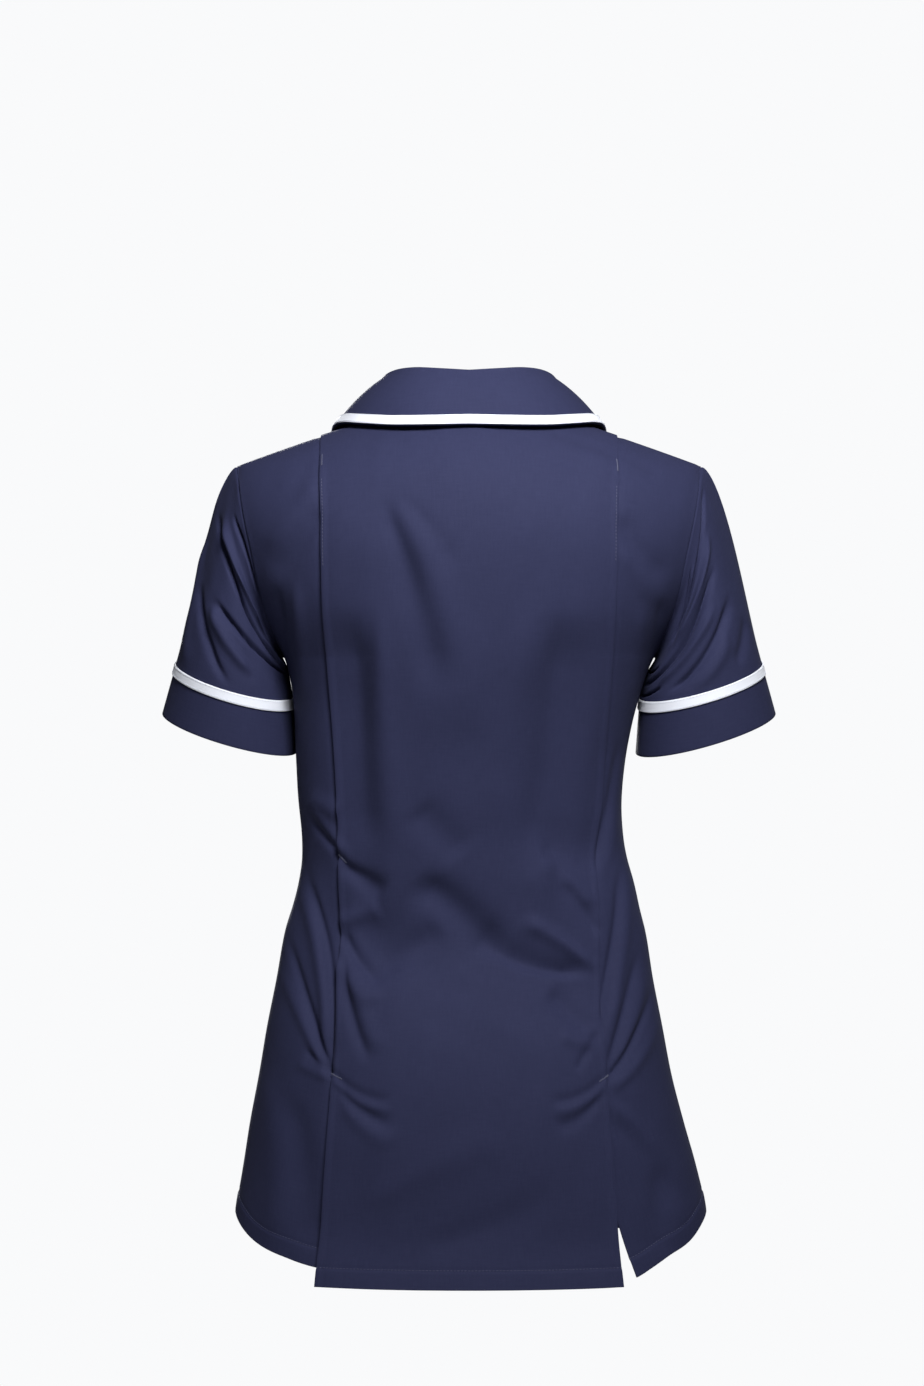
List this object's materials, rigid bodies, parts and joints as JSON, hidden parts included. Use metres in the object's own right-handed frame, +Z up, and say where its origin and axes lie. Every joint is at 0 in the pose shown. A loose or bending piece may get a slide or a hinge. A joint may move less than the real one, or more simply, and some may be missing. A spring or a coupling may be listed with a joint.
{
  "type": "medical tunic",
  "caption": "Worn short-sleeved nurse's tunic, hollow: turned-down collar and sleeve bands with white tape, back pleats, side vents, buttoned front.",
  "frame": {"origin": "base of the neck, midway between the shoulders that hold the tunic up", "axes": "+Z up, +Y to the wearer's back, +X to the wearer's left"},
  "size_m": [0.4938, 0.2656, 0.7183],
  "materials": {
    "navy_twill": "fine polyester and cotton twill, soft sheen",
    "white_tape": "woven cotton tape, matt",
    "navy_button": "moulded, soft gloss"
  },
  "bodies": {
    "root": {"back_centre": "navy_twill", "side_back_left": "navy_twill", "side_back_right": "navy_twill", "front_left": "navy_twill", "front_right": "navy_twill", "lapel_left": "navy_twill", "lapel_right": "navy_twill", "collar": "navy_twill", "collar_tape": "white_tape", "sleeve_left": "navy_twill", "sleeve_right": "navy_twill", "sleeve_band_left": "navy_twill", "sleeve_band_right": "navy_twill", "sleeve_tape_left": "white_tape", "sleeve_tape_right": "white_tape", "button_1": "navy_button", "button_2": "navy_button", "button_3": "navy_button", "button_4": "navy_button", "button_5": "navy_button"}
  },
  "joints": []
}
